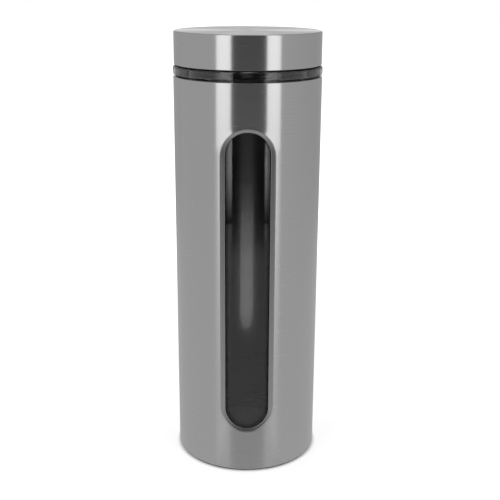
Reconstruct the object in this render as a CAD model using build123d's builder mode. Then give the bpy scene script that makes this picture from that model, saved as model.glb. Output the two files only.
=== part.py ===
from build123d import *
import os

# A tall storage canister: a clear glass jar stands in a brushed steel sleeve with a
# long oval window, and a steel lid screws onto the jar's neck against a soft seal ring.
# Millimetres, +Z up, the origin at the middle of the base, the window facing -Y.

# ---- driving dimensions -------------------------------------------------------------

# steel sleeve
sleeve_outer_radius = 50.8
sleeve_height = 274.9
sleeve_sheet = 0.6
sleeve_corner_radius = 1.0
sleeve_top_turn_in = 1.8
sleeve_foot_flange = 5.8

# oval window: its rim is pressed in, so a flat lip stands around the cut edge
window_half_width = 18.4
window_above_foot = 30.0
window_below_top = 29.3
window_lip_width = 3.5
window_lip_depth = 0.7
window_lip_step = 0.5

# rubber base ring: a foot under the sleeve's flange and a seat above it for the jar
foot_height = 0.8
seat_height = 2.0
base_ring_width = 4.0
foot_edge_setback = 1.2

# glass jar
jar_lip_clearance = 0.9
jar_wall = 3.9
jar_base_thickness = 8.6
jar_heel_radius = 4.0
jar_floor_radius = 6.0
punt_depth = 1.6
punt_edge_clearance = 1.5
bead_section_radius = 3.5
bead_overhang = 0.2
bead_above_sleeve = 3.6
neck_wall = 3.8
neck_rim_radius = 1.0
shoulder_fillet = 1.2

# thread: ridges on the neck, and lugs in the lid that run under them
thread_starts = 4
thread_lead = 20.0
thread_ridge_height = 1.4
thread_root_width = 2.2
thread_crest_width = 1.2
thread_ridge_arc = 100.0
thread_above_bead = 2.2
lug_height = 1.4
lug_arc = 16.0
lug_place_on_ridge = 30.0
lug_drop = 2.0

# upper cushion band between the jar and the sleeve
cushion_height = 8.0
cushion_below_sleeve_top = 4.0
cushion_fit = 0.05

# lid
lid_inset = 0.5
lid_height = 22.1
lid_sheet = 0.5
lid_corner_radius = 1.0
lid_hem_turn_in = 1.4
skirt_clearance = 0.6
insert_fit = 0.1
insert_wall = 1.7
insert_top = 1.6
insert_corner = 0.9
thread_clearance = 0.4
seal_thickness = 2.0
seal_side_clearance = 0.3
seal_overhang_inside = 1.2
seal_ledge_width = 0.8
seal_ledge_height = 1.0
seal_ledge_clearance = 0.3
plug_ring_wall = 1.4
plug_ring_depth = 4.0
plug_ring_clearance = 0.5

# ---- worked-out places --------------------------------------------------------------

sleeve_bottom = foot_height
sleeve_top = sleeve_bottom + sleeve_height
sleeve_inner_radius = sleeve_outer_radius - sleeve_sheet
flange_inner_radius = sleeve_outer_radius - sleeve_foot_flange
lip_outer_radius = sleeve_outer_radius - window_lip_depth
lip_inner_radius = lip_outer_radius - sleeve_sheet
window_height = sleeve_height - window_above_foot - window_below_top
window_low_end = sleeve_bottom + window_above_foot
window_middle = window_low_end + window_height / 2

jar_radius = lip_inner_radius - jar_lip_clearance
jar_inner_radius = jar_radius - jar_wall
jar_bottom = foot_height + sleeve_sheet + seat_height
jar_floor = jar_bottom + jar_base_thickness
base_ring_inner_radius = flange_inner_radius - base_ring_width
punt_radius = base_ring_inner_radius - punt_edge_clearance

bead_outer_radius = sleeve_outer_radius + bead_overhang
bead_centre_radius = bead_outer_radius - bead_section_radius
bead_z = sleeve_top + bead_above_sleeve

skirt_bottom = bead_z + bead_section_radius + skirt_clearance
lid_top = skirt_bottom + lid_height
lid_outer_radius = sleeve_outer_radius - lid_inset
lid_inner_radius = lid_outer_radius - lid_sheet
insert_outer_radius = lid_inner_radius - insert_fit
insert_inner_radius = insert_outer_radius - insert_wall
ridge_outer_radius = insert_inner_radius - thread_clearance
neck_radius = ridge_outer_radius - thread_ridge_height
neck_inner_radius = neck_radius - neck_wall
insert_top_z = lid_top - lid_sheet
seal_top = insert_top_z - insert_top
rim_top = seal_top - seal_thickness
insert_bottom = skirt_bottom + lid_sheet

seal_outer_radius = insert_inner_radius - seal_side_clearance
seal_inner_radius = neck_inner_radius - seal_overhang_inside
ridge_start_z = bead_z + bead_section_radius + thread_above_bead

# How far the root of a swept ridge or lug is sunk into the wall that carries it.
thread_root_sink = 0.3

# How far a cutting shape stands past what it cuts.
cut_margin = 1.0

full_turn = 360.0
start_spacing = full_turn / thread_starts


# ---- small helpers ------------------------------------------------------------------


def window_prism(inset):
    """The window's outline, drawn in by an even inset, pushed out through the front wall."""
    with BuildPart() as prism:
        with BuildSketch(Plane.XZ):
            with Locations((0, window_middle)):
                SlotOverall(window_height - 2 * inset, 2 * (window_half_width - inset), rotation=90)
        extrude(amount=sleeve_outer_radius + cut_margin)
    return prism.part


def window_band(outer_radius, inner_inset):
    """Sheet between the window's outline and a smaller one, out to the given radius."""
    with BuildPart() as band:
        with BuildSketch(Plane.XY.offset(window_low_end - cut_margin)):
            Circle(outer_radius)
            Circle(lip_inner_radius, mode=Mode.SUBTRACT)
        extrude(amount=window_height + 2 * cut_margin)
        add(window_prism(0), mode=Mode.INTERSECT)
        add(window_prism(inner_inset), mode=Mode.SUBTRACT)
    return band.part


def thread_bar(wall_radius, outwards, height, arc, low_z, start_angle):
    """A trapezoid swept along the thread's helix, standing out of a wall or into it."""
    with BuildPart() as bar:
        with BuildLine(Plane.XY.offset(low_z)) as path:
            Helix(pitch=thread_lead, height=thread_lead * arc / full_turn, radius=wall_radius)
        helix = path.line
        across = 1 if outwards else -1
        with BuildSketch(Plane(origin=helix @ 0, x_dir=(across, 0, 0), z_dir=helix % 0)):
            with BuildLine():
                Polyline(
                    (-thread_root_sink, -thread_root_width / 2),
                    (height, -thread_crest_width / 2),
                    (height, thread_crest_width / 2),
                    (-thread_root_sink, thread_root_width / 2),
                    close=True,
                )
            make_face()
        sweep(path=helix, is_frenet=True)
    return bar.part.rotate(Axis.Z, start_angle)


# ---- glass jar ----------------------------------------------------------------------


def make_glass_jar():
    bead_head = bead_z + bead_section_radius
    bead_inset = jar_radius - bead_centre_radius
    bead_foot = bead_z - (bead_section_radius**2 - bead_inset**2) ** 0.5
    shoulder_low = bead_z - bead_section_radius - jar_wall
    shoulder_middle = (shoulder_low + bead_head) / 2
    with BuildPart() as glass_jar:
        with BuildSketch(Plane.XZ) as profile:
            with BuildLine():
                punt_top = jar_bottom + punt_depth
                punt = Line((0, punt_top), (punt_radius - punt_depth, punt_top))
                step = Line(punt @ 1, (punt_radius, jar_bottom))
                stand = Line(step @ 1, (jar_radius - jar_heel_radius, jar_bottom))
                heel = RadiusArc(stand @ 1, (jar_radius, jar_bottom + jar_heel_radius), -jar_heel_radius)
                side = Line(heel @ 1, (jar_radius, bead_foot))
                bead = ThreePointArc(
                    side @ 1, (bead_outer_radius, bead_z), (bead_centre_radius, bead_head)
                )
                ledge = Line(bead @ 1, (neck_radius + shoulder_fillet, bead_head))
                root = RadiusArc(
                    ledge @ 1, (neck_radius, bead_head + shoulder_fillet), shoulder_fillet
                )
                neck = Line(root @ 1, (neck_radius, rim_top - neck_rim_radius))
                outer_rim = RadiusArc(
                    neck @ 1, (neck_radius - neck_rim_radius, rim_top), -neck_rim_radius
                )
                rim = Line(outer_rim @ 1, (neck_inner_radius + neck_rim_radius, rim_top))
                inner_rim = RadiusArc(
                    rim @ 1, (neck_inner_radius, rim_top - neck_rim_radius), -neck_rim_radius
                )
                bore = Line(inner_rim @ 1, (neck_inner_radius, bead_head))
                shoulder = Bezier(
                    bore @ 1,
                    (neck_inner_radius, shoulder_middle),
                    (jar_inner_radius, shoulder_middle),
                    (jar_inner_radius, shoulder_low),
                )
                inside = Line(shoulder @ 1, (jar_inner_radius, jar_floor + jar_floor_radius))
                corner = RadiusArc(
                    inside @ 1, (jar_inner_radius - jar_floor_radius, jar_floor), jar_floor_radius
                )
                floor = Line(corner @ 1, (0, jar_floor))
                Line(floor @ 1, punt @ 0)
            make_face()
        revolve(axis=Axis.Z)
        for start in range(thread_starts):
            ridge_angle = start * start_spacing
            add(
                thread_bar(
                    neck_radius,
                    True,
                    thread_ridge_height,
                    thread_ridge_arc,
                    ridge_start_z,
                    ridge_angle,
                )
            )
    return glass_jar


# ---- steel sleeve -------------------------------------------------------------------


def make_steel_sleeve():
    top_inner_radius = sleeve_outer_radius - sleeve_top_turn_in
    with BuildPart() as steel_sleeve:
        with BuildSketch(Plane.XZ) as profile:
            with BuildLine():
                Polyline(
                    (flange_inner_radius, sleeve_bottom),
                    (sleeve_outer_radius, sleeve_bottom),
                    (sleeve_outer_radius, sleeve_top),
                    (top_inner_radius, sleeve_top),
                    (top_inner_radius, sleeve_top - sleeve_sheet),
                    (sleeve_inner_radius, sleeve_top - sleeve_sheet),
                    (sleeve_inner_radius, sleeve_bottom + sleeve_sheet),
                    (flange_inner_radius, sleeve_bottom + sleeve_sheet),
                    close=True,
                )
            make_face()
            fillet(profile.vertices().group_by(Axis.X)[-1], sleeve_corner_radius)
        revolve(axis=Axis.Z)
        # the pressed-in rim of the window: its step, then its flat lip
        add(window_prism(0), mode=Mode.SUBTRACT)
        add(window_band(sleeve_outer_radius, window_lip_step))
        add(window_band(lip_outer_radius, window_lip_width))
    return steel_sleeve


# ---- rubber base ring ---------------------------------------------------------------


def make_base_ring():
    foot_outer_radius = sleeve_outer_radius - foot_edge_setback
    seat_outer_radius = jar_radius
    with BuildPart() as base_ring:
        with BuildSketch(Plane.XZ):
            with BuildLine():
                Polyline(
                    (base_ring_inner_radius, 0),
                    (foot_outer_radius, 0),
                    (foot_outer_radius, sleeve_bottom),
                    (flange_inner_radius, sleeve_bottom),
                    (flange_inner_radius, sleeve_bottom + sleeve_sheet),
                    (seat_outer_radius, sleeve_bottom + sleeve_sheet),
                    (seat_outer_radius, jar_bottom),
                    (base_ring_inner_radius, jar_bottom),
                    close=True,
                )
            make_face()
        revolve(axis=Axis.Z)
    return base_ring


# ---- upper cushion band -------------------------------------------------------------


def make_upper_cushion():
    cushion_top = sleeve_top - cushion_below_sleeve_top
    with BuildPart() as upper_cushion:
        with BuildSketch(Plane.XY.offset(cushion_top - cushion_height)):
            Circle(sleeve_inner_radius - cushion_fit)
            Circle(jar_radius + cushion_fit, mode=Mode.SUBTRACT)
        extrude(amount=cushion_height)
    return upper_cushion


# ---- lid shell ----------------------------------------------------------------------


def make_lid_shell():
    hem_radius = lid_outer_radius - lid_hem_turn_in
    with BuildPart() as lid_shell:
        with BuildSketch(Plane.XZ) as profile:
            with BuildLine():
                Polyline(
                    (0, lid_top),
                    (lid_outer_radius, lid_top),
                    (lid_outer_radius, skirt_bottom),
                    (hem_radius, skirt_bottom),
                    (hem_radius, skirt_bottom + lid_sheet),
                    (lid_inner_radius, skirt_bottom + lid_sheet),
                    (lid_inner_radius, lid_top - lid_sheet),
                    (0, lid_top - lid_sheet),
                    close=True,
                )
            make_face()
            top_corner = profile.vertices().group_by(Axis.X)[-1].sort_by(Axis.Y)[-1]
            fillet(top_corner, lid_corner_radius)
            skirt_corner = profile.vertices().group_by(Axis.X)[-1].sort_by(Axis.Y)[0]
            fillet(skirt_corner, lid_sheet)
        revolve(axis=Axis.Z)
    return lid_shell


# ---- threaded lid insert ------------------------------------------------------------


def make_lid_insert():
    ledge_top = rim_top - seal_ledge_clearance
    ledge_radius = insert_inner_radius - seal_ledge_width
    plug_outer_radius = seal_inner_radius - plug_ring_clearance
    plug_inner_radius = plug_outer_radius - plug_ring_wall
    plug_bottom = seal_top - plug_ring_depth
    first_lug_angle = lug_place_on_ridge - lug_arc / 2
    lug_z = ridge_start_z + thread_lead * first_lug_angle / full_turn - lug_drop
    with BuildPart() as lid_insert:
        with BuildSketch(Plane.XZ) as profile:
            with BuildLine():
                Polyline(
                    (0, insert_top_z),
                    (insert_outer_radius, insert_top_z),
                    (insert_outer_radius, insert_bottom),
                    (insert_inner_radius, insert_bottom),
                    (insert_inner_radius, ledge_top - seal_ledge_height),
                    (ledge_radius, ledge_top - seal_ledge_height / 2),
                    (ledge_radius, ledge_top),
                    (insert_inner_radius, ledge_top),
                    (insert_inner_radius, seal_top),
                    (plug_outer_radius, seal_top),
                    (plug_outer_radius, plug_bottom),
                    (plug_inner_radius, plug_bottom),
                    (plug_inner_radius, seal_top),
                    (0, seal_top),
                    close=True,
                )
            make_face()
            top_corner = profile.vertices().group_by(Axis.X)[-1].sort_by(Axis.Y)[-1]
            chamfer(top_corner, insert_corner)
        revolve(axis=Axis.Z)
        for start in range(thread_starts):
            lug_angle = first_lug_angle + start * start_spacing
            add(
                thread_bar(
                    insert_inner_radius,
                    False,
                    lug_height,
                    lug_arc,
                    lug_z,
                    lug_angle,
                )
            )
    return lid_insert


# ---- seal ring ----------------------------------------------------------------------


def make_lid_seal():
    with BuildPart() as lid_seal:
        with BuildSketch(Plane.XZ):
            with BuildLine():
                Polyline(
                    (seal_inner_radius, rim_top),
                    (seal_outer_radius, rim_top),
                    (seal_outer_radius, seal_top),
                    (seal_inner_radius, seal_top),
                    close=True,
                )
            make_face()
        revolve(axis=Axis.Z)
    return lid_seal


# ---- build and write ----------------------------------------------------------------

pieces = {
    "glass_jar": make_glass_jar(),
    "steel_sleeve": make_steel_sleeve(),
    "base_ring": make_base_ring(),
    "upper_cushion": make_upper_cushion(),
    "lid_shell": make_lid_shell(),
    "lid_insert": make_lid_insert(),
    "lid_seal": make_lid_seal(),
}

os.makedirs("parts", exist_ok=True)
for piece_name, piece in pieces.items():
    piece.part.label = piece_name
    export_step(piece.part, f"parts/{piece_name}.step")
    print(piece_name, "solids", len(piece.part.solids()), "volume", round(piece.part.volume, 1))
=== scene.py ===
import math

import bpy
import numpy as np
from mathutils import Matrix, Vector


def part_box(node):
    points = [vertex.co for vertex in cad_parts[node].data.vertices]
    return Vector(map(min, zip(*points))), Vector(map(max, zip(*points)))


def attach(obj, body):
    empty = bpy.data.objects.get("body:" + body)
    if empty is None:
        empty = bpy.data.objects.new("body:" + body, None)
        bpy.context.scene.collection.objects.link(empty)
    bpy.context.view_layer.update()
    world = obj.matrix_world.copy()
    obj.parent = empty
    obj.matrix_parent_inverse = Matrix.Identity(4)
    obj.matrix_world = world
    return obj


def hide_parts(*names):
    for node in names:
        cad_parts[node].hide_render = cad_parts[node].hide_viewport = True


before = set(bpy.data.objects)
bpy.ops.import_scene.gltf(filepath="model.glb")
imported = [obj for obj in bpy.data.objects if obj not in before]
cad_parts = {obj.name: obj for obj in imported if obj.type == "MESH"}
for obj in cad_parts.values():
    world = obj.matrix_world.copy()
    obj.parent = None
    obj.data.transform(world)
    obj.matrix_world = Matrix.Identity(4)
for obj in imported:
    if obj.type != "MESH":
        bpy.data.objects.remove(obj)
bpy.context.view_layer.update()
print("frame loaded:", sorted(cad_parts))

mm = 0.001
quarterTurn = math.pi / 2
fullTurn = 2 * math.pi
hair = 0.01 * mm  # two radii closer than this count as the same
creaseAngle = math.radians(40)  # edges bent more than this are shaded as sharp

# widths and heights that the CAD nodes already settle
sleeveLow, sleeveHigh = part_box("steel_sleeve")
jarLow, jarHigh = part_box("glass_jar")
shellLow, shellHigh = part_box("lid_shell")
insertLow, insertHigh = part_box("lid_insert")
sealLow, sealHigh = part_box("lid_seal")
baseLow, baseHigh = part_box("base_ring")
cushionLow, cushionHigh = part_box("upper_cushion")


# outlines and meshes

def arc(centreR, centreZ, radius, startAngle, endAngle, steps):
    # points on a round corner of an outline, angles in quarter turns from +R towards +Z
    points = []
    for step in range(steps + 1):
        angle = quarterTurn * (startAngle + (endAngle - startAngle) * step / steps)
        points.append((centreR + radius * math.cos(angle), centreZ + radius * math.sin(angle)))
    return points


def spaced(start, end, count):
    # count points from start to end, leaving out both ends
    return [start + (end - start) * (i + 1) / (count + 1) for i in range(count)]


def run(start, end, count):
    # straight stretch of an outline between two points, with both ends left out
    parts = spaced(0.0, 1.0, count)
    return [(start[0] + (end[0] - start[0]) * f, start[1] + (end[1] - start[1]) * f) for f in parts]


def limited(value):
    return min(max(value, 0.0), 1.0)


def eased(t):
    # soft start and soft stop from 0 to 1
    return t * t * (3 - 2 * t)


def meshPiece(name, points, faces, materials, faceSlots):
    mesh = bpy.data.meshes.new(name)
    mesh.from_pydata(points, [], faces)
    mesh.validate()
    for material in materials:
        mesh.materials.append(material)
    mesh.polygons.foreach_set("material_index", faceSlots)
    mesh.shade_smooth()
    mesh.set_sharp_from_angle(angle=creaseAngle)
    piece = bpy.data.objects.new(name, mesh)
    bpy.context.scene.collection.objects.link(piece)
    weighted = piece.modifiers.new("evenNormals", "WEIGHTED_NORMAL")
    weighted.keep_sharp = True
    weighted.weight = 100
    return piece


def lathe(name, outline, columns, materials, push=None, slotOf=None):
    # closed outline of (radius, height) turned about Z; an end on the axis becomes a single point
    points, rows = [], []
    for radius, height in outline:
        if radius < hair:
            rows.append([len(points)] * columns)
            points.append((0.0, 0.0, height))
            continue
        row = []
        for column in range(columns):
            angle = fullTurn * column / columns
            reach = radius + (push(radius, height, angle) if push else 0.0)
            row.append(len(points))
            points.append((reach * math.cos(angle), reach * math.sin(angle), height))
        rows.append(row)
    # the last point joins the first, unless both stand on the axis
    joined = outline[0][0] > hair or outline[-1][0] > hair
    faces, faceSlots = [], []
    for index in range(len(rows) if joined else len(rows) - 1):
        following = (index + 1) % len(rows)
        low, high = rows[index], rows[following]
        slot = 0
        if slotOf:
            middleR = (outline[index][0] + outline[following][0]) / 2
            middleZ = (outline[index][1] + outline[following][1]) / 2
            slot = slotOf(middleR, middleZ)
        for column in range(columns):
            after = (column + 1) % columns
            corners = [low[column], low[after], high[after], high[column]]
            face = list(dict.fromkeys(corners))
            if len(face) > 2:
                faces.append(face)
                faceSlots.append(slot)
    return meshPiece(name, points, faces, materials, faceSlots)


# shader nodes

def newMaterial(name):
    material = bpy.data.materials.new(name)
    material.use_nodes = True
    nodes, links = material.node_tree.nodes, material.node_tree.links
    return material, nodes, links, nodes["Principled BSDF"]


def addNode(nodes, kind, **settings):
    node = nodes.new(kind)
    for key, value in settings.items():
        setattr(node, key, value)
    return node


def mathNode(nodes, links, operation, first, second=None):
    node = addNode(nodes, "ShaderNodeMath", operation=operation)
    for socket, value in zip(node.inputs, (first, second)):
        if isinstance(value, (int, float)):
            socket.default_value = value
        elif value is not None:
            links.new(value, socket)
    return node.outputs[0]


def rangeNode(nodes, links, value, fromLow, fromHigh, toLow, toHigh):
    node = nodes.new("ShaderNodeMapRange")
    links.new(value, node.inputs["Value"])
    limits = {"From Min": fromLow, "From Max": fromHigh, "To Min": toLow, "To Max": toHigh}
    for key, number in limits.items():
        node.inputs[key].default_value = number
    return node.outputs["Result"]


def placeNode(nodes, links):
    # the point's place on the object, whole and as x, y and z
    place = nodes.new("ShaderNodeTexCoord").outputs["Object"]
    split = nodes.new("ShaderNodeSeparateXYZ")
    links.new(place, split.inputs[0])
    return place, split.outputs


def greyRamp(nodes, links, value, dark, light):
    ramp = nodes.new("ShaderNodeValToRGB")
    ramp.color_ramp.elements[0].color = (*dark, 1)
    ramp.color_ramp.elements[1].color = (*light, 1)
    links.new(value, ramp.inputs["Fac"])
    return ramp.outputs["Color"]


def noiseNode(nodes, links, vector, scale, detail=2.0, roughness=0.5):
    node = nodes.new("ShaderNodeTexNoise")
    links.new(vector, node.inputs["Vector"])
    node.inputs["Scale"].default_value = scale
    node.inputs["Detail"].default_value = detail
    node.inputs["Roughness"].default_value = roughness
    return node.outputs["Fac"]


def bumpNode(nodes, links, height, strength, distance):
    node = nodes.new("ShaderNodeBump")
    node.inputs["Strength"].default_value = strength
    node.inputs["Distance"].default_value = distance
    links.new(height, node.inputs["Height"])
    return node.outputs["Normal"]


# finishes

brushedSteel = {
    "darkGrain": (0.485, 0.485, 0.485),
    "lightGrain": (0.525, 0.525, 0.525),
    "smoothest": 0.255,
    "roughest": 0.275,
    "stretch": 1.0,
    "stretchTurn": 0.25,
    "grainsPerMetre": 5200.0,
    "grainsRoundTurn": 9.0,
    "grainFineness": 0.6,
    "grainDepth": 0.0000011,
    "patchesPerMetre": 14.0,
    "patchShare": 0.2,
    "noiseSpread": (0.3, 0.7),
}

# the sheet's inner side is painted darker than the outside, as painted shade for the dim inside of
# the sleeve and the lid; its grain is coarser
shadedSheetInside = dict(brushedSteel, darkGrain=(0.265, 0.265, 0.265), lightGrain=(0.305, 0.305, 0.305),
                   smoothest=0.21, roughest=0.25, stretch=0.2, grainsPerMetre=900.0,
                   grainDepth=0.000001)


def brushedSteelMaterial(name, finish):
    # the grain runs round the axis: rings on the flat top, hoops on the wall
    material, nodes, links, shader = newMaterial(name)
    place, (x, y, z) = placeNode(nodes, links)
    squares = mathNode(nodes, links, "ADD", mathNode(nodes, links, "MULTIPLY", x, x),
                       mathNode(nodes, links, "MULTIPLY", y, y))
    radius = mathNode(nodes, links, "SQRT", squares)
    turn = mathNode(nodes, links, "ARCTAN2", y, x)
    grainAt = nodes.new("ShaderNodeCombineXYZ")
    outwards = mathNode(nodes, links, "MULTIPLY", radius, finish["grainsPerMetre"])
    around = mathNode(nodes, links, "MULTIPLY", turn, finish["grainsRoundTurn"] / fullTurn)
    upwards = mathNode(nodes, links, "MULTIPLY", z, finish["grainsPerMetre"])
    for socket, value in zip(grainAt.inputs, (outwards, around, upwards)):
        links.new(value, socket)
    grain = noiseNode(nodes, links, grainAt.outputs[0], 1.0, roughness=finish["grainFineness"])
    patch = noiseNode(nodes, links, place, finish["patchesPerMetre"], detail=1.0)
    share = finish["patchShare"]
    blended = mathNode(nodes, links, "ADD", mathNode(nodes, links, "MULTIPLY", grain, 1 - share),
                       mathNode(nodes, links, "MULTIPLY", patch, share))
    colour = greyRamp(nodes, links, blended, finish["darkGrain"], finish["lightGrain"])
    gloss = rangeNode(nodes, links, blended, *finish["noiseSpread"], finish["smoothest"],
                      finish["roughest"])
    hoops = addNode(nodes, "ShaderNodeTangent", direction_type="RADIAL", axis="Z")
    links.new(colour, shader.inputs["Base Color"])
    links.new(gloss, shader.inputs["Roughness"])
    links.new(bumpNode(nodes, links, grain, 1.0, finish["grainDepth"]), shader.inputs["Normal"])
    links.new(hoops.outputs[0], shader.inputs["Tangent"])
    shader.inputs["Metallic"].default_value = 1.0
    shader.inputs["Anisotropic"].default_value = finish["stretch"]
    shader.inputs["Anisotropic Rotation"].default_value = finish["stretchTurn"]
    return material


clearGlass = {
    "thick": (0.968, 0.969, 0.969),
    "thin": (0.986, 0.987, 0.987),
    "ior": 1.47,
    "roughness": 0.0,
    "waveDepth": 0.00006,
    "waveStrength": 0.35,
    "wavesPerMetre": 22.0,
}


def glassMaterial():
    material, nodes, links, shader = newMaterial("clearGlass")
    place = nodes.new("ShaderNodeTexCoord").outputs["Object"]
    wave = noiseNode(nodes, links, place, clearGlass["wavesPerMetre"], detail=1.0)
    ripple = bumpNode(nodes, links, wave, clearGlass["waveStrength"], clearGlass["waveDepth"])
    tint = greyRamp(nodes, links, wave, clearGlass["thick"], clearGlass["thin"])
    links.new(ripple, shader.inputs["Normal"])
    links.new(tint, shader.inputs["Base Color"])
    shader.inputs["Transmission Weight"].default_value = 1.0
    shader.inputs["Roughness"].default_value = clearGlass["roughness"]
    shader.inputs["IOR"].default_value = clearGlass["ior"]
    return material


insertPlastic = {
    "dark": (0.028, 0.028, 0.028),
    "light": (0.040, 0.040, 0.040),
    "smoothest": 0.42,
    "roughest": 0.52,
    "grainPerMetre": 2600.0,
    "grainDepth": 0.00003,
    "grainDetail": 3.0,
    "grainFineness": 0.6,
    "grainStrength": 0.6,
    "patchesPerMetre": 30.0,
    "noiseSpread": (0.3, 0.7),
}

footRubber = dict(insertPlastic, dark=(0.020, 0.020, 0.020), light=(0.032, 0.032, 0.032),
                  smoothest=0.62, roughest=0.72, grainPerMetre=1900.0, grainDepth=0.00004)

softSilicone = dict(insertPlastic, dark=(0.030, 0.030, 0.031), light=(0.045, 0.045, 0.046),
                    smoothest=0.40, roughest=0.50, grainPerMetre=1500.0, grainDepth=0.00002)


def mouldedMaterial(name, finish):
    # fine even texture, as on moulded plastic, silicone and rubber
    material, nodes, links, shader = newMaterial(name)
    place = nodes.new("ShaderNodeTexCoord").outputs["Object"]
    grain = noiseNode(nodes, links, place, finish["grainPerMetre"], finish["grainDetail"],
                      finish["grainFineness"])
    patch = noiseNode(nodes, links, place, finish["patchesPerMetre"])
    colour = greyRamp(nodes, links, patch, finish["dark"], finish["light"])
    gloss = rangeNode(nodes, links, patch, *finish["noiseSpread"], finish["smoothest"],
                      finish["roughest"])
    texture = bumpNode(nodes, links, grain, finish["grainStrength"], finish["grainDepth"])
    links.new(colour, shader.inputs["Base Color"])
    links.new(gloss, shader.inputs["Roughness"])
    links.new(texture, shader.inputs["Normal"])
    return material


steelOutside = brushedSteelMaterial("brushedSteel", brushedSteel)
# the inner steel is the outer steel painted darker, as painted shade
shadedSteelInside = brushedSteelMaterial("shadedSheetInside", shadedSheetInside)
glass = glassMaterial()
plastic = mouldedMaterial("insertPlastic", insertPlastic)
rubber = mouldedMaterial("footRubber", footRubber)
silicone = mouldedMaterial("softSilicone", softSilicone)
print("finishes made")


# steel sleeve

sleeve = {
    "sheet": 0.6 * mm,
    "footRadius": 1.0 * mm,
    "topRadius": 0.45 * mm,
    "topTurnIn": 1.8 * mm,
    "footFlange": 5.8 * mm,
    "windowHalfWidth": 18.1 * mm,
    "windowAboveFoot": 30.3 * mm,
    "windowBelowTop": 29.6 * mm,
    "lipWidth": 3.0 * mm,
    "lipNarrowAtEnds": 0.38,
    "stepDepth": 0.3 * mm,
    "stepStart": -0.45 * mm,
    "stepEnd": 0.35 * mm,
    "lipSlope": 0.18,
    "lipSlopeAtEnds": 0.36,
    "edgeRise": 0.08 * mm,
    "edgeRiseReach": 3.5 * mm,
    "cutRadius": 0.25 * mm,
    "seamDepth": 0.12 * mm,
    "seamHalfWidth": 0.35 * mm,
    # how finely it is divided
    "columns": 288,
    "windowColumns": 21,
    "seamColumns": (0.5, 1.0, 2.0),  # in half widths of the seam
    "windowMargin": 4.0 * mm,
    "cornerSteps": 8,
    "innerCornerSteps": 4,
    "cornerBand": 0.4 * mm,
    "flangeBand": 0.3 * mm,
    "plainRows": 6,
    "windowEndRows": 19,
    "windowSideRows": 34,
    "surroundRings": 9,
    "surroundGap": 0.35 * mm,
    "stepRings": 11,
    "lipRings": 3,
    "cutRings": (0.25, 0.5, 0.75, 1.0),
    "innerTopDrop": 0.84 * mm,  # the inner wall's rows stop this far under the top
}


def edgeRise(outside):
    # the wall stands up a little round the window, as pressed sheet does
    near = limited(1 - outside / sleeve["edgeRiseReach"])
    return sleeve["edgeRise"] * near * near


def lipSink(inset, endness):
    # how deep the sheet is pressed in, at a distance inside the window's outline
    # endness is 0 at the window's sides and 1 at its ends
    start, end = sleeve["stepStart"], sleeve["stepEnd"]
    t = limited((inset - start) / (end - start))
    slope = sleeve["lipSlope"] + (sleeve["lipSlopeAtEnds"] - sleeve["lipSlope"]) * endness
    return sleeve["stepDepth"] * eased(t) + slope * max(0.0, inset) * t - edgeRise(-inset)


def cutRounding(inset):
    # the lip's outer edge rolls over into the cut
    radius = sleeve["cutRadius"]
    over = min(max(inset - (sleeve["lipWidth"] - radius), 0.0), radius)
    return radius - math.sqrt(radius * radius - over * over)


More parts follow.
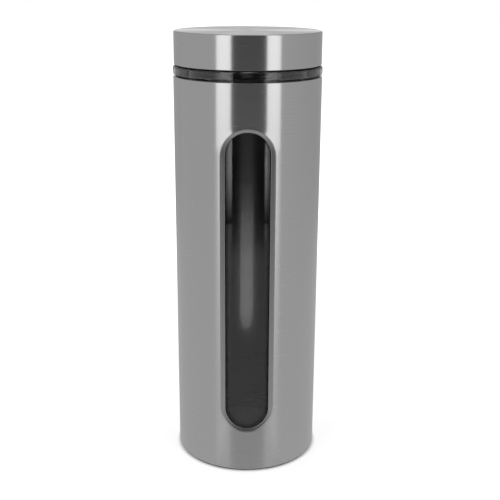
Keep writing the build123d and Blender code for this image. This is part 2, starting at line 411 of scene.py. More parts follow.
def makeSleeve():
    outerR = sleeveHigh.x
    bottomZ, topZ = sleeveLow.z, sleeveHigh.z
    sheet, corner, topCorner = sleeve["sheet"], sleeve["footRadius"], sleeve["topRadius"]
    innerR, innerCorner = outerR - sheet, corner - sheet
    halfWidth, margin = sleeve["windowHalfWidth"], sleeve["windowMargin"]
    windowLow, windowHigh = bottomZ + sleeve["windowAboveFoot"], topZ - sleeve["windowBelowTop"]
    blockLow, blockHigh = windowLow - margin, windowHigh + margin
    axisLow, axisHigh = windowLow + halfWidth, windowHigh - halfWidth

    # heights of the wall's rows, closer together round the window's ends
    wallLow, wallHigh = bottomZ + corner, topZ - topCorner
    band, plainRows = sleeve["cornerBand"], sleeve["plainRows"]
    endRows, sideRows = sleeve["windowEndRows"], sleeve["windowSideRows"]
    heights = [wallLow, wallLow + band]
    heights += spaced(heights[-1], blockLow, plainRows) + [blockLow]
    heights += spaced(blockLow, axisLow, endRows) + [axisLow]
    heights += spaced(axisLow, axisHigh, sideRows) + [axisHigh]
    heights += spaced(axisHigh, blockHigh, endRows) + [blockHigh]
    heights += spaced(blockHigh, wallHigh - band, plainRows) + [wallHigh - band, wallHigh]
    firstBlockRow, lastBlockRow = heights.index(blockLow), heights.index(blockHigh)

    # outline: foot flange, outer wall, top edge and back down the inner wall
    flangeR, topR = outerR - sleeve["footFlange"], outerR - sleeve["topTurnIn"]
    flangeBand, cornerSteps = sleeve["flangeBand"], sleeve["cornerSteps"]
    outline = [(flangeR, bottomZ), (flangeR + flangeBand, bottomZ)]
    outline += [(outerR - corner - flangeBand, bottomZ)]
    outline += arc(outerR - corner, bottomZ + corner, corner, -1, 0, cornerSteps)[:-1]
    outerStart = len(outline)
    outline += [(outerR, height) for height in heights]
    outline += arc(outerR - topCorner, topZ - topCorner, topCorner, 0, 1, cornerSteps)[1:]
    insideFrom = len(outline) + 1
    outline += [(topR, topZ), (topR, topZ - sheet), (innerR, topZ - sheet)]
    innerStart, innerTop = len(outline), topZ - sleeve["innerTopDrop"]
    outline += [(innerR, min(height, innerTop)) for height in reversed(heights)]
    outline += arc(innerR - innerCorner, bottomZ + sheet + innerCorner, innerCorner, 0, -1,
                   sleeve["innerCornerSteps"])[1:]
    outline += [(flangeR, bottomZ + sheet)]

    # angles of the columns, measured from the front; a few more stand at the seam behind
    count = sleeve["columns"]
    seam = sleeve["seamHalfWidth"] / outerR
    angles = [fullTurn / count * i for i in range(-count // 2 + 1, count // 2)]
    beside = [seam * part for part in sleeve["seamColumns"]]
    angles += [math.pi - turn for turn in reversed(beside)] + [math.pi]
    angles = [-math.pi + turn for turn in beside] + angles
    columns = len(angles)

    def place(radius, angle, height):
        aside = (math.pi - abs(angle)) / seam
        groove = sleeve["seamDepth"] * max(0.0, 1 - aside) if radius > innerR + hair else 0.0
        reach = radius - groove
        return (reach * math.sin(angle), -reach * math.cos(angle), height)

    points = [place(radius, angle, height) for radius, height in outline for angle in angles]

    def at(row, column):
        return (row % len(outline)) * columns + column % columns

    # all the wall's faces, with a block left out on each side for the window
    front = min(range(columns), key=lambda i: abs(angles[i]))
    firstColumn = front - sleeve["windowColumns"]
    lastColumn = front + sleeve["windowColumns"]
    outerRows = range(outerStart + firstBlockRow, outerStart + lastBlockRow)
    lastInner = innerStart + len(heights) - 1
    innerRows = range(lastInner - lastBlockRow, lastInner - firstBlockRow)
    faces, faceSlots = [], []
    for row in range(len(outline)):
        for column in range(columns):
            inBlock = firstColumn <= column < lastColumn
            if inBlock and (row in outerRows or row in innerRows):
                continue
            after = column + 1
            faces.append([at(row, column), at(row, after), at(row + 1, after), at(row + 1, column)])
            faceSlots.append(1 if row >= insideFrom else 0)

    # the window's surround: rings that follow its outline, from the wall in to the cut edge
    def rimOf(rowOf):
        rim = [(c, firstBlockRow) for c in range(firstColumn, lastColumn)]
        rim += [(lastColumn, r) for r in range(firstBlockRow, lastBlockRow)]
        rim += [(c, lastBlockRow) for c in range(lastColumn, firstColumn, -1)]
        rim += [(firstColumn, r) for r in range(lastBlockRow, firstBlockRow, -1)]
        return [(at(rowOf(r), c), angles[c], heights[r]) for c, r in rim]

    stepStart, stepEnd = sleeve["stepStart"], sleeve["stepEnd"]
    rolled = sleeve["lipWidth"] - sleeve["cutRadius"]
    insets = [stepStart] + spaced(stepStart, stepEnd, sleeve["stepRings"]) + [stepEnd]
    insets += spaced(stepEnd, rolled, sleeve["lipRings"]) + [rolled]
    for part in sleeve["cutRings"]:
        insets.append(rolled + sleeve["cutRadius"] * math.sin(quarterTurn * part))
    surroundWidth = halfWidth - stepStart + sleeve["surroundGap"]
    middle, halfStraight = (axisLow + axisHigh) / 2, (axisHigh - axisLow) / 2

    def ringsFor(rim, radius, rounding):
        rings = [[index for index, angle, height in rim]]
        for part in spaced(0.0, 1.0, sleeve["surroundRings"]) + [1.0]:
            ring = []
            for index, angle, height in rim:
                foot = min(max(height, axisLow), axisHigh)
                side = radius * math.sin(angle)
                away = math.hypot(side, height - foot)
                reach = 1 - part + part * surroundWidth / away
                x, z = side * reach, foot + (height - foot) * reach
                r = radius + edgeRise(away * reach - halfWidth)
                ring.append(len(points))
                points.append((x, -math.sqrt(r * r - x * x), z))
            rings.append(ring)
        for inset in insets:
            # the lip is narrower at the window's ends, so its round ends stand a little further out
            spread = 1 + sleeve["lipNarrowAtEnds"] * max(0.0, inset) / halfStraight
            ring = []
            for index, angle, height in rim:
                side = radius * math.sin(angle)
                foot = min(max(height, axisLow), axisHigh)
                away = math.hypot(side, height - foot)
                reach = (halfWidth - inset) / away
                x = side * reach
                z = middle + (foot - middle) * spread + (height - foot) * reach
                r = radius - lipSink(inset, abs(height - foot) / away)
                r -= cutRounding(inset) if rounding else 0.0
                ring.append(len(points))
                points.append((x, -math.sqrt(r * r - x * x), z))
            rings.append(ring)
        return rings

    outerRings = ringsFor(rimOf(lambda r: outerStart + r), outerR, True)
    innerRings = ringsFor(rimOf(lambda r: lastInner - r), innerR, False)

    def bridge(ringA, ringB, flip, slot):
        for i in range(len(ringA)):
            after = (i + 1) % len(ringA)
            face = [ringA[i], ringA[after], ringB[after], ringB[i]]
            faces.append(face[::-1] if flip else face)
            faceSlots.append(slot)

    for near, far in zip(outerRings[:-1], outerRings[1:]):
        bridge(near, far, False, 0)
    for near, far in zip(innerRings[:-1], innerRings[1:]):
        bridge(near, far, True, 1)
    bridge(outerRings[-1], innerRings[-1], False, 0)
    return meshPiece("sleeve", points, faces, [steelOutside, shadedSteelInside], faceSlots)


sleevePiece = makeSleeve()
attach(sleevePiece, "canister")
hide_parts("steel_sleeve")
print("sleeve made")


# screw thread, shared by the jar's neck and the lid's insert

thread = {
    "starts": 4,
    "lead": 20.0 * mm,
    "rootWidth": 2.2 * mm,
    "crestWidth": 1.2 * mm,
    "ridgeArc": math.radians(100),
    "fadeArc": math.radians(9),
    "lugArc": math.radians(16),
    "lugFadeArc": math.radians(3),
    "lugPlace": math.radians(22),
    "lugDrop": 2.0 * mm,
}


def threadClimb(along):
    # how far the thread climbs over this much of a turn
    return thread["lead"] * along / fullTurn


def threadHeight(angle, height, startZ, arcLength, fade, depth):
    # how far a ridge or lug stands out at this spot, 0 between them
    halfRoot, halfCrest = thread["rootWidth"] / 2, thread["crestWidth"] / 2
    best = 0.0
    for start in range(thread["starts"]):
        startAngle = start * fullTurn / thread["starts"]
        along = (angle - startAngle + quarterTurn) % fullTurn - quarterTurn
        if along < -fade or along > arcLength + fade:
            continue
        off = abs(height - (startZ + threadClimb(along)))
        side = limited((halfRoot - off) / (halfRoot - halfCrest))
        beyond = max(-along, along - arcLength, 0.0) / fade
        best = max(best, depth * eased(side) * (1 - beyond * beyond))
    return best


# glass jar

jar = {
    "wall": 3.9 * mm,
    "bodyBelowBead": 2.4 * mm,
    "heelRadius": 4.0 * mm,
    "baseThickness": 8.6 * mm,
    "floorRadius": 1.0 * mm,
    "punt": 1.6 * mm,
    "puntRadius": 39.5 * mm,
    "puntEdge": 0.2 * mm,
    "beadHalfHeight": 3.42 * mm,
    "beadFaceRadius": 12.0 * mm,
    "beadCorner": 1.5 * mm,
    "beadFootSlope": 1.7 * mm,
    "beadFootRadius": 0.4 * mm,
    "shoulderBelowRim": 30.4 * mm,
    "shoulderHeight": 9.0 * mm,
    "neckRadius": 46.2 * mm,
    "neckWall": 3.8 * mm,
    "rimRadius": 1.0 * mm,
    "rootFillet": 1.2 * mm,
    "beadBelowRim": 22.1 * mm,
    "ridgeAboveBead": 5.7 * mm,
    "ridgeHeight": 1.4 * mm,
    "ridgeRoomAbove": 2.0 * mm,
    "ridgeRoomBelow": 1.7 * mm,
    # how finely each stretch of the outline is divided
    "columns": 320,
    "puntSteps": 6,
    "puntCornerSteps": 5,
    "heelSteps": 10,
    "wallSteps": 30,
    "beadFootSteps": 4,
    "beadFaceSteps": 16,
    "cornerSteps": 8,
    "filletSteps": 6,
    "threadSteps": 48,
    "aboveThreadSteps": 5,
    "boreSteps": 8,
    "shoulderSteps": 16,
    "floorCornerSteps": 12,
    "floorSteps": 8,
}

beadZ = jarHigh.z - jar["beadBelowRim"]
ridgeZ = beadZ + jar["ridgeAboveBead"]  # where each ridge starts; the lid's lugs go by it too


def makeJar():
    beadR, bodyR = jarHigh.x, jarHigh.x - jar["bodyBelowBead"]
    bottomZ, rimZ = jarLow.z, jarHigh.z
    insideR, neckR = bodyR - jar["wall"], jar["neckRadius"]
    boreR = neckR - jar["neckWall"]

    # underside and outer wall
    punt, puntR, heel = jar["punt"], jar["puntRadius"], jar["heelRadius"]
    puntZ = bottomZ + punt
    outline = [(0.0, puntZ)]
    outline += run((0.0, puntZ), (puntR - punt, puntZ), jar["puntSteps"])
    outline += arc(puntR - punt * 2, bottomZ, punt, 1, 0, jar["puntCornerSteps"])
    outline += [(puntR - jar["puntEdge"], bottomZ), (bodyR - heel, bottomZ)]
    outline += arc(bodyR - heel, bottomZ + heel, heel, -1, 0, jar["heelSteps"])[1:]

    # bead; its foot is cut off at a slope, so that light doesn't shine straight through it
    halfHeight, beadCorner = jar["beadHalfHeight"], jar["beadCorner"]
    beadTop, beadFootZ = beadZ + halfHeight, beadZ - halfHeight
    faceR, footR = jar["beadFaceRadius"], jar["beadFootRadius"]
    faceEnd = math.asin((halfHeight - beadCorner) / (faceR - beadCorner)) / quarterTurn
    faceCentre = beadR - faceR
    cornerR = faceCentre + (faceR - beadCorner) * math.cos(faceEnd * quarterTurn)
    slopeR = cornerR + beadCorner * math.cos(faceEnd * quarterTurn) - jar["beadFootSlope"]
    outline += run((bodyR, bottomZ + heel), (bodyR, beadFootZ - footR), jar["wallSteps"])
    outline += arc(bodyR + footR, beadFootZ - footR, footR, -2, -3, jar["beadFootSteps"])
    outline += [(slopeR, beadFootZ)]
    outline += arc(faceCentre, beadZ, faceR, -faceEnd, faceEnd, jar["beadFaceSteps"])[:-1]
    outline += arc(cornerR, beadTop - beadCorner, beadCorner, faceEnd, 1, jar["cornerSteps"])

    # neck with its ridges, and the rim
    fillet, rimRound = jar["rootFillet"], jar["rimRadius"]
    neckTop = rimZ - rimRound
    ridgeTop = ridgeZ + threadClimb(thread["ridgeArc"]) + jar["ridgeRoomAbove"]
    ridgeLow = ridgeZ - jar["ridgeRoomBelow"]
    outline += arc(neckR + fillet, beadTop + fillet, fillet, -1, -2, jar["filletSteps"])
    outline += run((neckR, beadTop + fillet), (neckR, ridgeTop), jar["threadSteps"])
    outline += [(neckR, ridgeTop)]
    outline += run((neckR, ridgeTop), (neckR, neckTop), jar["aboveThreadSteps"])
    outline += arc(neckR - rimRound, neckTop, rimRound, 0, 1, jar["cornerSteps"])
    outline += arc(boreR + rimRound, neckTop, rimRound, 1, 2, jar["cornerSteps"])

    # inside, from the bore down to the floor
    shoulderHigh = rimZ - jar["shoulderBelowRim"]
    shoulderLow = shoulderHigh - jar["shoulderHeight"]
    outline += run((boreR, neckTop), (boreR, shoulderHigh), jar["boreSteps"])
    for step in range(jar["shoulderSteps"] + 1):
        t = step / jar["shoulderSteps"]
        shoulderR = boreR + (insideR - boreR) * eased(t)
        outline.append((shoulderR, shoulderHigh + (shoulderLow - shoulderHigh) * t))
    floorZ, floorRound = bottomZ + jar["baseThickness"], jar["floorRadius"]
    floorR = insideR - floorRound
    outline += run((insideR, shoulderLow), (insideR, floorZ + floorRound), jar["wallSteps"])
    outline += arc(floorR, floorZ + floorRound, floorRound, 0, -1, jar["floorCornerSteps"])
    outline += run((floorR, floorZ), (0.0, floorZ), jar["floorSteps"])
    outline += [(0.0, floorZ)]

    def push(radius, height, angle):
        if abs(radius - neckR) > hair or not ridgeLow < height < ridgeTop:
            return 0.0
        return threadHeight(angle, height, ridgeZ, thread["ridgeArc"], thread["fadeArc"],
                            jar["ridgeHeight"])

    return lathe("jar", outline, jar["columns"], [glass], push)


jarPiece = makeJar()
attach(jarPiece, "canister")
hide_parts("glass_jar")
print("jar made")


# lid shell

shell = {
    "sheet": 0.5 * mm,
    "cornerRadius": 1.0 * mm,
    "hemTurnIn": 1.4 * mm,
    "hemRadius": 0.2 * mm,
    "slotMargin": 0.1 * mm,  # faces this near the outside take the outer finish
    # how finely each stretch of the outline is divided
    "columns": 320,
    "edgeBand": 0.3 * mm,
    "topSteps": 24,
    "cornerSteps": 10,
    "skirtSteps": 6,
    "hemSteps": 6,
    "innerWallSteps": 5,
    "innerCornerSteps": 4,
    "innerTopSteps": 6,
}


def makeShell():
    outerR, topZ, bottomZ = shellHigh.x, shellHigh.z, shellLow.z
    sheet, corner, hem = shell["sheet"], shell["cornerRadius"], shell["hemRadius"]
    band, margin = shell["edgeBand"], shell["slotMargin"]
    innerR, innerCorner = outerR - sheet, corner - sheet
    innerTop, hemR = topZ - sheet, outerR - shell["hemTurnIn"]
    flatR = outerR - corner - band
    skirtHigh, skirtLow = topZ - corner - band, bottomZ + hem + band
    outline = [(0.0, topZ)]
    outline += run((0.0, topZ), (flatR, topZ), shell["topSteps"])
    outline += [(flatR, topZ)]
    outline += arc(outerR - corner, topZ - corner, corner, 1, 0, shell["cornerSteps"])
    outline += [(outerR, skirtHigh)]
    outline += run((outerR, skirtHigh), (outerR, skirtLow), shell["skirtSteps"])
    outline += [(outerR, skirtLow)]
    outline += arc(outerR - hem, bottomZ + hem, hem, 0, -1, shell["hemSteps"])
    outline += [(hemR, bottomZ), (hemR, bottomZ + sheet), (innerR, bottomZ + sheet)]
    outline += run((innerR, bottomZ + sheet), (innerR, topZ - corner), shell["innerWallSteps"])
    outline += arc(innerR - innerCorner, innerTop - innerCorner, innerCorner, 0, 1,
                   shell["innerCornerSteps"])
    outline += run((innerR - innerCorner, innerTop), (0.0, innerTop), shell["innerTopSteps"])
    outline += [(0.0, innerTop)]

    def slotOf(radius, height):
        # 1 on the sheet's inner side, 0 outside and under the hem
        inwards = radius < innerR + margin and height < topZ - 2 * margin
        return 1 if inwards and height > bottomZ + margin else 0

    steels = [steelOutside, shadedSteelInside]
    return lathe("lidShell", outline[::-1], shell["columns"], steels, slotOf=slotOf)


shellPiece = makeShell()
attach(shellPiece, "lid")
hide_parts("lid_shell")
print("lid shell made")


# threaded insert in the lid, with the plug ring that stands inside the seal

seal = {"width": 6.5 * mm}
sealInsideR = sealHigh.x - seal["width"]

insert = {
    "wall": 1.7 * mm,
    "edge": 0.9 * mm,
    "lowerEdge": 0.35 * mm,
    "ledgeWidth": 0.8 * mm,
    "ledgeHeight": 1.0 * mm,
    "ledgeBelowRim": 0.3 * mm,
    "plugWall": 1.4 * mm,
    "plugDepth": 4.0 * mm,
    "plugClearance": 0.5 * mm,
    "lugHeight": 1.4 * mm,
    "lugRoom": 1.6 * mm,
    # how finely each stretch of the outline is divided
    "columns": 360,
    "topSteps": 8,
    "wallSteps": 4,
    "cornerSteps": 4,
    "lugSteps": 26,
    "aboveLugsSteps": 3,
    "insidePlugSteps": 6,
}


def makeInsert():
    outerR, topZ, bottomZ = insertHigh.x, insertHigh.z, insertLow.z
    innerR, sealTop, rimZ = outerR - insert["wall"], sealHigh.z, sealLow.z
    edge, lower, cornerSteps = insert["edge"], insert["lowerEdge"], insert["cornerSteps"]

    # top, outer wall and its rounded foot
    outline = [(0.0, topZ)]
    outline += run((0.0, topZ), (outerR - edge, topZ), insert["topSteps"])
    outline += [(outerR - edge, topZ), (outerR, topZ - edge)]
    outline += run((outerR, topZ - edge), (outerR, bottomZ + lower), insert["wallSteps"])
    outline += arc(outerR - lower, bottomZ + lower, lower, 0, -1, cornerSteps)
    outline += arc(innerR + lower, bottomZ + lower, lower, -1, -2, cornerSteps)

    # inner wall with the lugs, and the ledge that holds the seal
    lugZ = ridgeZ + threadClimb(thread["lugPlace"]) - thread["lugDrop"]
    lugLow = lugZ - insert["lugRoom"]
    lugHigh = lugZ + insert["lugRoom"] + threadClimb(thread["lugArc"])
    ledgeR, ledgeTop = innerR - insert["ledgeWidth"], rimZ - insert["ledgeBelowRim"]
    ledgeFoot = ledgeTop - insert["ledgeHeight"]
    outline += [(innerR, lugLow)]
    outline += run((innerR, lugLow), (innerR, lugHigh), insert["lugSteps"])
    outline += [(innerR, lugHigh)]
    outline += run((innerR, lugHigh), (innerR, ledgeFoot), insert["aboveLugsSteps"])
    outline += [(innerR, ledgeFoot), (ledgeR, ledgeTop - insert["ledgeHeight"] / 2)]
    outline += [(ledgeR, ledgeTop), (innerR, ledgeTop), (innerR, sealTop)]

    # plug ring and the flat inside it
    plugOut = sealInsideR - insert["plugClearance"]
    plugIn = plugOut - insert["plugWall"]
    plugRoundZ = sealTop - insert["plugDepth"] + lower
    outline += [(plugOut, sealTop)]
    outline += arc(plugOut - lower, plugRoundZ, lower, 0, -1, cornerSteps)
    outline += arc(plugIn + lower, plugRoundZ, lower, -1, -2, cornerSteps)
    outline += [(plugIn, sealTop)]
    outline += run((plugIn, sealTop), (0.0, sealTop), insert["insidePlugSteps"])
    outline += [(0.0, sealTop)]

    def push(radius, height, angle):
        if abs(radius - innerR) > hair or not lugLow < height < lugHigh:
            return 0.0
        return -threadHeight(angle - thread["lugPlace"], height, lugZ, thread["lugArc"],
                             thread["lugFadeArc"], insert["lugHeight"])

    return lathe("lidInsert", outline[::-1], insert["columns"], [plastic], push)


insertPiece = makeInsert()
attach(insertPiece, "lid")
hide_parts("lid_insert")


# soft rings: the seal and the cushion band

softRing = {
    "edge": 0.35 * mm,
    "edgeSteps": 5,
    "columns": 256,
}


def roundedRing(name, inner, outer, low, high):
    # the round edges take at most a third of the section
    edge = min(softRing["edge"], (high - low) / 3, (outer - inner) / 3)
    steps = softRing["edgeSteps"]
    outline = arc(inner + edge, low + edge, edge, -2, -1, steps)
    outline += arc(outer - edge, low + edge, edge, -1, 0, steps)
    outline += arc(outer - edge, high - edge, edge, 0, 1, steps)
    outline += arc(inner + edge, high - edge, edge, 1, 2, steps)
    return lathe(name, outline, softRing["columns"], [silicone])


sealPiece = roundedRing("seal", sealInsideR, sealHigh.x, sealLow.z, sealHigh.z)
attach(sealPiece, "seal")
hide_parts("lid_seal")

cushion = {"insideRadius": 48.65 * mm}
cushionPiece = roundedRing("cushionBand", cushion["insideRadius"], cushionHigh.x,
                           cushionLow.z, cushionHigh.z)
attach(cushionPiece, "canister")
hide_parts("upper_cushion")


# base ring, an I-shaped section that grips the sleeve's flange between its foot and its seat

base = {
    "insideRadius": 41.0 * mm,
    "seatRadius": 48.6 * mm,
    "edge": 0.3 * mm,
    "edgeSteps": 4,
    "columns": 256,
}


def makeBaseRing():
    inside, foot, seat = base["insideRadius"], baseHigh.x, base["seatRadius"]
    bottomZ, topZ, edge, steps = baseLow.z, baseHigh.z, base["edge"], base["edgeSteps"]
    flangeR = sleeveHigh.x - sleeve["footFlange"]
    flangeZ, seatZ = sleeveLow.z, sleeveLow.z + sleeve["sheet"]
    outline = arc(inside + edge, bottomZ + edge, edge, -2, -1, steps)
    outline += arc(foot - edge, bottomZ + edge, edge, -1, 0, steps)
    outline += [(foot, flangeZ), (flangeR, flangeZ), (flangeR, seatZ), (seat, seatZ)]
    outline += arc(seat - edge, topZ - edge, edge, 0, 1, steps)
    outline += arc(inside + edge, topZ - edge, edge, 1, 2, steps)
    return lathe("baseRing", outline, base["columns"], [rubber])


basePiece = makeBaseRing()
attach(basePiece, "canister")
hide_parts("base_ring")
print("insert, seal, cushion and base ring made")


# camera, fitted to the outlines in the photo; it stands in metres from the canister's axis

view = {
    "aside": -0.0044,
    "back": 0.62117,
    "up": 0.34112,
    "lookDown": math.radians(17.062),
    "turn": math.radians(0.608),
    "roll": math.radians(0.313),
    "lens": 64.583,
    "sensor": 36.0,
    "nearest": 0.01,
    "farthest": 50.0,
}


def makeCamera():
    camera = bpy.data.cameras.new("photoView")
    camera.lens = view["lens"]
    camera.sensor_width = view["sensor"]
    camera.clip_start = view["nearest"]
    camera.clip_end = view["farthest"]
    holder = bpy.data.objects.new("photoView", camera)
    bpy.context.scene.collection.objects.link(holder)
    turn, down, roll = view["turn"], view["lookDown"], view["roll"]
    level = math.cos(down)
    ahead = np.array([math.sin(turn) * level, math.cos(turn) * level, -math.sin(down)])
    right = np.array([math.cos(turn), -math.sin(turn), 0.0])
    up = np.cross(right, ahead)
    rolledRight = math.cos(roll) * right + math.sin(roll) * up
    rolledUp = math.cos(roll) * up - math.sin(roll) * right
    rows = np.column_stack([rolledRight, rolledUp, -ahead])
    stand = (view["aside"], -view["back"], view["up"])
    holder.matrix_world = Matrix([[*rows[i], stand[i]] for i in range(3)] + [[0, 0, 0, 1]])
    bpy.context.scene.camera = holder


makeCamera()
print("camera set")


# studio: pale floor, a soft strip on each side of the camera, grey walls round about

def lookSwitch(nodes, links):
    # 1 for what the camera, metal and glass see directly, 0 for light that falls on things
    path = nodes.new("ShaderNodeLightPath")
    direct = mathNode(nodes, links, "MAXIMUM", path.outputs["Is Camera Ray"],
                      path.outputs["Is Glossy Ray"])
    return mathNode(nodes, links, "MAXIMUM", direct, path.outputs["Is Transmission Ray"])


def turnNode(nodes, links, x, y):
    # angle round the canister: 0 faces the camera, and + is to the right
    return mathNode(nodes, links, "ARCTAN2", x, mathNode(nodes, links, "MULTIPLY", y, -1.0))


def awayNode(nodes, links, place):
    # distance from the middle of the floor
    away = addNode(nodes, "ShaderNodeVectorMath", operation="LENGTH")
    links.new(place, away.inputs[0])
    return away.outputs["Value"]


def glowMaterial(name):
    material = bpy.data.materials.new(name)
    material.use_nodes = True
    nodes, links = material.node_tree.nodes, material.node_tree.links
    nodes.remove(nodes["Principled BSDF"])
    glow = nodes.new("ShaderNodeEmission")
    links.new(glow.outputs[0], nodes["Material Output"].inputs["Surface"])
    return material, nodes, links, glow


def stagePiece(name, points, faces, material, seen=True, givesLight=True):
    mesh = bpy.data.meshes.new(name)
    mesh.from_pydata(points, [], faces)
    mesh.materials.append(material)
    piece = bpy.data.objects.new(name, mesh)
    bpy.context.scene.collection.objects.link(piece)
    piece.visible_camera = seen
    piece.visible_diffuse = givesLight
    piece.visible_shadow = givesLight


def stageSquare(name, half, height, material, seen=True, faceDown=False):
    corners = [(-half, -half, height), (half, -half, height), (half, half, height),
               (-half, half, height)]
    face = (0, 3, 2, 1) if faceDown else (0, 1, 2, 3)
    stagePiece(name, corners, [face], material, seen)


air = {"seen": 1.0, "forLight": 0.35}  # white to look at, dimmer as a light


def makeWorld():
    world = bpy.data.worlds.new("studioAir")
    bpy.context.scene.world = world
    world.use_nodes = True
    nodes, links = world.node_tree.nodes, world.node_tree.links
    background = nodes["Background"]
    background.inputs["Color"].default_value = (1, 1, 1, 1)
    strength = rangeNode(nodes, links, lookSwitch(nodes, links), 0, 1, air["forLight"], air["seen"])
    links.new(strength, background.inputs["Strength"])


floor = {
    "colour": 0.80,
    "glow": 0.59,
    "paintedShadowFade": (0.0495, 0.0530),  # painted shadow: no glow under the canister, and it fades in over a thin ring round its foot, which paints a dark contact line on the floor
    "glowGrows": (0.25, 0.62),  # more of it far off, where less light falls
    "halfWidth": 6.0,
}


def makeFloor():
    material, nodes, links, glow = glowMaterial("paleFloor")
    matt = nodes.new("ShaderNodeBsdfDiffuse")
    matt.inputs["Color"].default_value = (floor["colour"],) * 3 + (1,)
    away = awayNode(nodes, links, nodes.new("ShaderNodeTexCoord").outputs["Object"])
    # painted shadow under and round the canister's foot, where the glow is left off
    nearGlow = rangeNode(nodes, links, away, *floor["paintedShadowFade"], 0.0, floor["glow"])
    farGlow = rangeNode(nodes, links, away, *floor["glowGrows"], 0.0, 1.0 - floor["glow"])
    reach = mathNode(nodes, links, "ADD", nearGlow, farGlow)
    strength = mathNode(nodes, links, "MULTIPLY", lookSwitch(nodes, links), reach)
    links.new(strength, glow.inputs["Strength"])
    both = nodes.new("ShaderNodeAddShader")
    links.new(matt.outputs[0], both.inputs[0])
    links.new(glow.outputs[0], both.inputs[1])
    links.new(both.outputs[0], nodes["Material Output"].inputs["Surface"])
    stageSquare("floor", floor["halfWidth"], 0, material)


cloth = {
    "reaches": (0.0515, 0.16, 0.30, 0.62),
    "columns": 72,
    "height": 0.0005,
    "near": 0.53,
    "far": 0.41,
    "fromNearToFar": (0.12, 0.60),
    "rim": (0.55, 0.62),
    "rimShare": 0.5,
    "aside": 0.63,
    "asideLeft": (24, 30),  # degrees from the front, where it turns to the strength aside
    "asideRight": (28, 34),
}


def makeGreyCloth():
    # grey cloth on the floor round the canister, seen only in metal and glass
    reaches, columns = cloth["reaches"], cloth["columns"]
    points, faces = [], []
    for reach in reaches:
        for column in range(columns):
            angle = fullTurn * column / columns
            points.append((reach * math.sin(angle), -reach * math.cos(angle), cloth["height"]))
    for ring in range(len(reaches) - 1):
        for column in range(columns):
            here, after = ring * columns + column, ring * columns + (column + 1) % columns
            faces.append((here, after, after + columns, here + columns))
    material, nodes, links, glow = glowMaterial("greyCloth")
    place, (x, y, z) = placeNode(nodes, links)
    turn, away = turnNode(nodes, links, x, y), awayNode(nodes, links, place)
    left = [math.radians(-degrees) for degrees in cloth["asideLeft"]]
    right = [math.radians(degrees) for degrees in cloth["asideRight"]]
    aside = mathNode(nodes, links, "MAXIMUM", rangeNode(nodes, links, turn, *left, 0, 1),
                     rangeNode(nodes, links, turn, *right, 0, 1))
    middle = rangeNode(nodes, links, away, *cloth["fromNearToFar"], cloth["near"], cloth["far"])
    rim = rangeNode(nodes, links, away, *cloth["rim"], 1, cloth["rimShare"])
    front = mathNode(nodes, links, "MULTIPLY", middle, rim)
    # front + (strength aside - front) * aside
    change = mathNode(nodes, links, "SUBTRACT", cloth["aside"], front)
    change = mathNode(nodes, links, "MULTIPLY", change, aside)
    links.new(mathNode(nodes, links, "ADD", front, change), glow.inputs["Strength"])
    stagePiece("greyCloth", points, faces, material, seen=False, givesLight=False)


walls = {
    "distance": 0.62,
    "top": 2.0,
    "panelStep": 3,  # degrees between a panel's uprights
    "left": 0.575,
    "right": 0.62,
    "rightEndShare": 0.84,  # of the right wall's light, where the back corner starts
    "backCorners": 0.42,
    "back": 0.86,
    "sidesEnd": 112,  # degrees from the front, and so is the next
    "backStarts": 165,
    "cornersThroughGlass": 0.1,
    "backThroughGlass": 0.5,
}

cameraSide = {
    "strength": 0.060,
    "lowStrength": 0.040,
    "stepHeight": 0.12,
    "footHeight": 0.045,
    "footShare": 4.6,  # brighter at the floor than above
}

strips = {
    "strength": 1.86,
    "distance": 0.60,
    "low": 0.03,
    "high": 0.80,
    "footHeight": 0.07,
    "left": (-47.2, -24.8),  # from and to, in degrees from the front
    "right": (27.8, 48.8),
}

overhead = {"strength": 1.0, "halfWidth": 0.9}


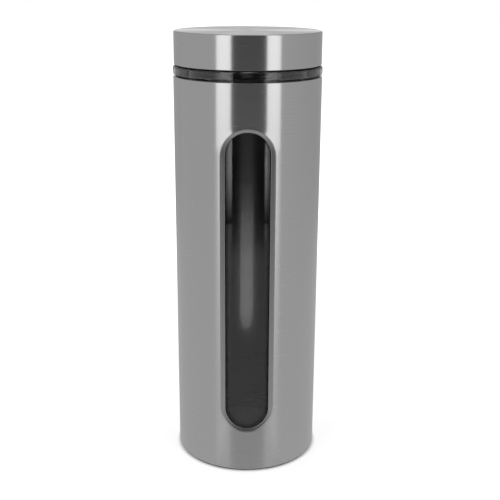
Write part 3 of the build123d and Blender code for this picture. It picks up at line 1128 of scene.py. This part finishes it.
def wallPanel(name, fromDegrees, toDegrees, startStrength, endStrength, low=0.0,
              high=walls["top"], distance=walls["distance"], footHeight=0.0, footShare=0.0,
              throughGlass=1.0):
    # an upright panel bent round the canister; 0 degrees faces the camera, and + is to the right
    # its light starts at footShare of its strength and is full at footHeight above its lower edge
    # throughGlass is the share of it that is seen through glass
    steps = max(2, int(abs(toDegrees - fromDegrees) / walls["panelStep"]))
    points, faces = [], []
    for step in range(steps + 1):
        angle = math.radians(fromDegrees + (toDegrees - fromDegrees) * step / steps)
        x, y = distance * math.sin(angle), -distance * math.cos(angle)
        points += [(x, y, low), (x, y, high)]
    for step in range(steps):
        first = step * 2
        faces.append((first, first + 1, first + 3, first + 2))
    material, nodes, links, glow = glowMaterial(name)
    x, y, z = placeNode(nodes, links)[1]
    strength = startStrength
    if startStrength != endStrength:
        start, end = math.radians(fromDegrees), math.radians(toDegrees)
        turn = turnNode(nodes, links, x, y)
        strength = rangeNode(nodes, links, turn, start, end, startStrength, endStrength)
    if footHeight > 0:
        rise = rangeNode(nodes, links, z, low, low + footHeight, footShare, 1)
        strength = mathNode(nodes, links, "MULTIPLY", rise, strength)
    if throughGlass < 1:
        path = nodes.new("ShaderNodeLightPath")
        seen = path.outputs["Is Transmission Ray"]
        share = rangeNode(nodes, links, seen, 0, 1, 1, throughGlass)
        strength = mathNode(nodes, links, "MULTIPLY", share, strength)
    if isinstance(strength, float):
        glow.inputs["Strength"].default_value = strength
    else:
        links.new(strength, glow.inputs["Strength"])
    stagePiece(name, points, faces, material, seen=False)


def makeWalls():
    leftEdge, rightEdge = strips["left"][1], strips["right"][0]
    sidesEnd, backStarts = walls["sidesEnd"], walls["backStarts"]
    left, right, corners, back = walls["left"], walls["right"], walls["backCorners"], walls["back"]
    rightEnd = right * walls["rightEndShare"]
    cornersShare, backShare = walls["cornersThroughGlass"], walls["backThroughGlass"]
    upper, lower = cameraSide["strength"], cameraSide["lowStrength"]
    wallPanel("cameraSide", leftEdge, rightEdge, upper, upper, low=cameraSide["stepHeight"])
    wallPanel("cameraSideLow", leftEdge, rightEdge, lower, lower, high=cameraSide["stepHeight"],
              footHeight=cameraSide["footHeight"], footShare=cameraSide["footShare"])
    wallPanel("leftWall", -sidesEnd, leftEdge, left, left)
    wallPanel("rightWall", rightEdge, sidesEnd, right, rightEnd)
    wallPanel("leftBackCorner", -backStarts, -sidesEnd, corners, left, throughGlass=cornersShare)
    wallPanel("rightBackCorner", sidesEnd, backStarts, rightEnd, corners, throughGlass=cornersShare)
    wallPanel("backWall", backStarts, 360 - backStarts, back, back, throughGlass=backShare)


def makeStrips():
    strength = strips["strength"]
    for side in ("left", "right"):
        wallPanel(side + "Strip", *strips[side], strength, strength, strips["low"], strips["high"],
                  strips["distance"], strips["footHeight"])


def makeOverhead():
    material, nodes, links, glow = glowMaterial("overhead")
    glow.inputs["Strength"].default_value = overhead["strength"]
    stageSquare("overhead", overhead["halfWidth"], walls["top"], material, seen=False,
                faceDown=True)


makeWorld()
makeFloor()
makeGreyCloth()
makeOverhead()
makeWalls()
makeStrips()
bpy.context.scene.view_settings.view_transform = "Standard"
print("studio built")
